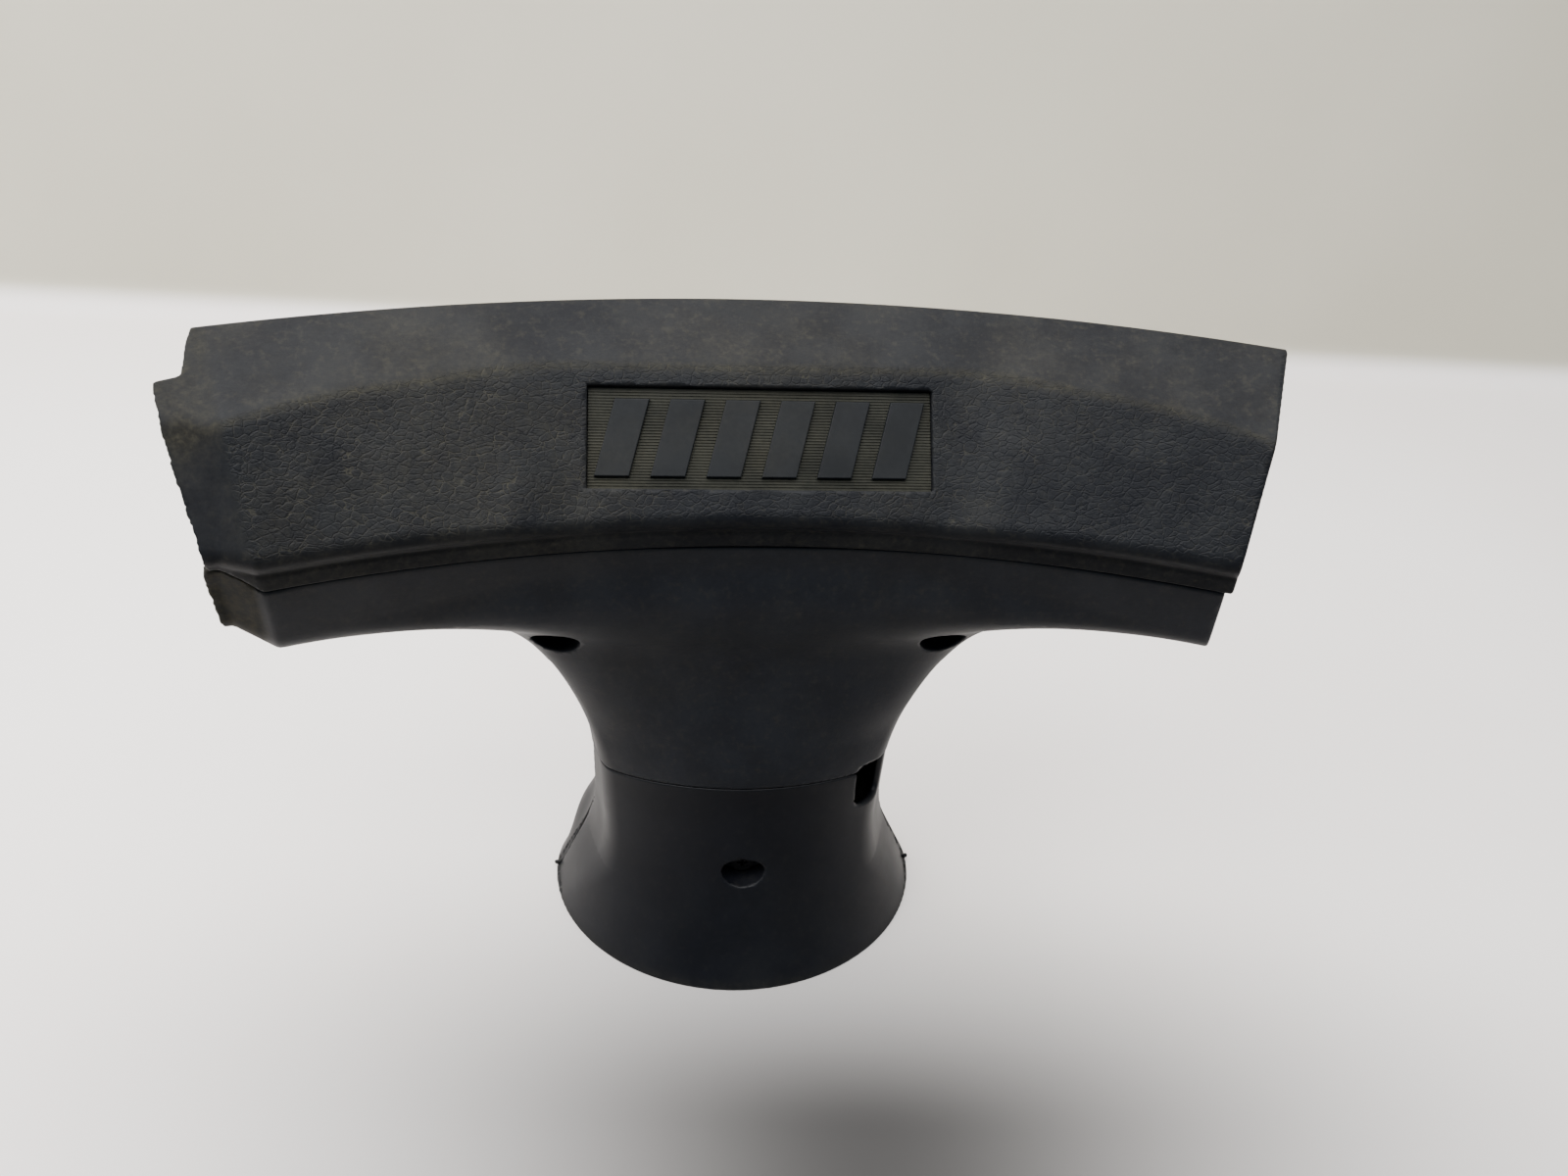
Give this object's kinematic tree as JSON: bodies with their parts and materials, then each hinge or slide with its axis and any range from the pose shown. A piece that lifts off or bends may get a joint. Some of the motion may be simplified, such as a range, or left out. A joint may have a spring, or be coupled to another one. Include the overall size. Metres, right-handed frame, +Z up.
{
  "type": "handlebar centre cover",
  "caption": "T-shaped moulded plastic cover for the middle of a curved handlebar, with a ribbed badge, a waisted neck and a flared two-part skirt over the steering column.",
  "frame": {"origin": "middle of the skirt's rim, in the plane that the part stands on", "axes": "+Z up, -Y towards the rider and the badge, +X along the crossbar to the rider's right"},
  "size_m": [0.3732, 0.1317, 0.2641],
  "materials": {
    "shell": "grained",
    "skirt": "satin",
    "badge": "satin, ribbed",
    "steel": "zinc plated",
    "brass": "plain"
  },
  "bodies": {
    "root": {"upper_cover": "shell", "badge_plate": "badge", "badge_nut_left": "steel", "badge_nut_right": "steel", "front_cover": "shell", "rear_cover": "shell", "front_skirt": "skirt", "rear_skirt": "skirt", "shoulder_screw_left": "steel", "shoulder_screw_right": "steel", "shoulder_insert_left": "brass", "shoulder_insert_right": "brass", "wing_screw_left": "steel", "wing_screw_right": "steel", "wing_insert_left": "brass", "wing_insert_right": "brass", "skirt_screw_front": "steel", "skirt_screw_rear": "steel", "clip_nut_front": "steel", "clip_nut_rear": "steel"}
  },
  "joints": []
}
